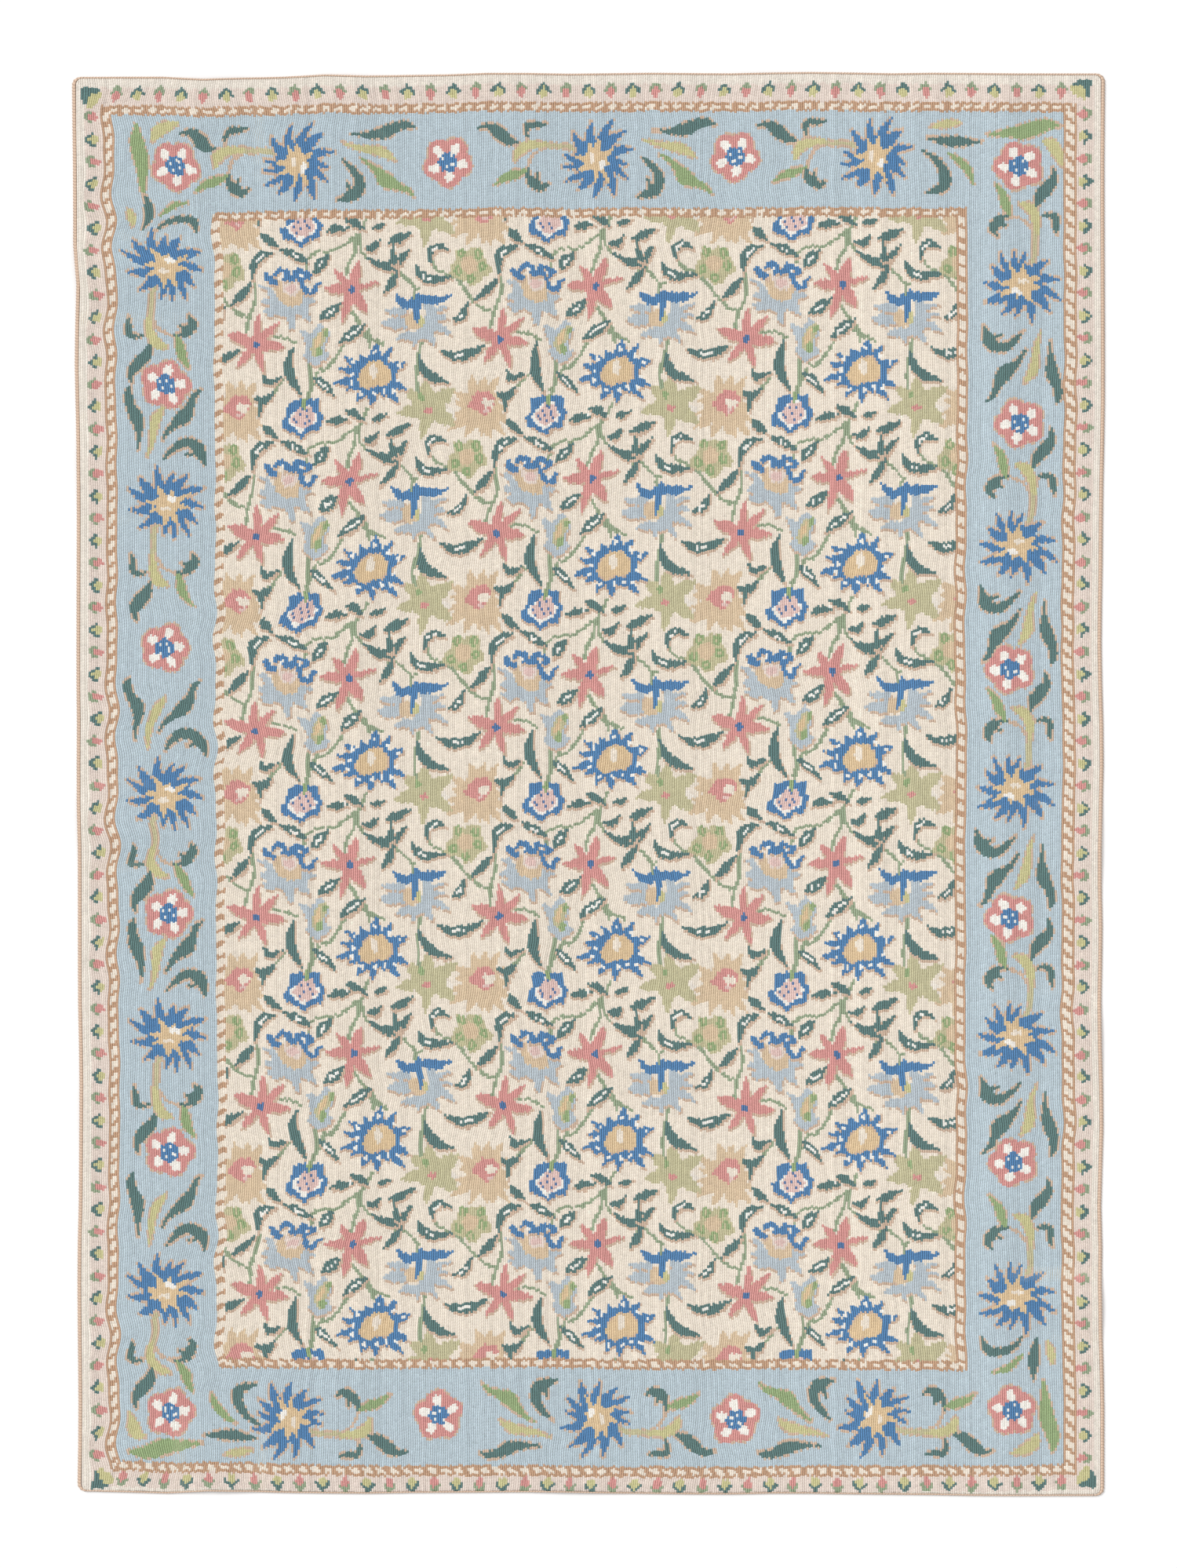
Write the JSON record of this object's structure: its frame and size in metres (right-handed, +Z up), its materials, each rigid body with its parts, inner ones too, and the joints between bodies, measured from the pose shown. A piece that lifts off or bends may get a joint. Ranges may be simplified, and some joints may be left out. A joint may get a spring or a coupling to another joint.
{
  "type": "chain stitch tapestry",
  "caption": "Flat wool chain stitch tapestry: a floral field and a flower border between narrow guards, stitched in straight rows on canvas, with a whipped wool edging.",
  "frame": {"origin": "middle of the underside, on the surface that the cloth lies on", "axes": "+Z up out of the stitched face, +Y along the stitch rows towards the top end, +X across the rows to the right"},
  "size_m": [1.78, 2.453, 0.0089],
  "materials": {
    "stitched_wool": "matt wool in rows of chain stitch, cream with blue, green, olive, coral and tan",
    "edging_wool": "matt tan wool, whipped closely over the edge"
  },
  "bodies": {
    "root": {"stitched_cloth": "stitched_wool", "edging_left": "edging_wool", "edging_right": "edging_wool", "edging_top": "edging_wool", "edging_bottom": "edging_wool"}
  },
  "joints": []
}
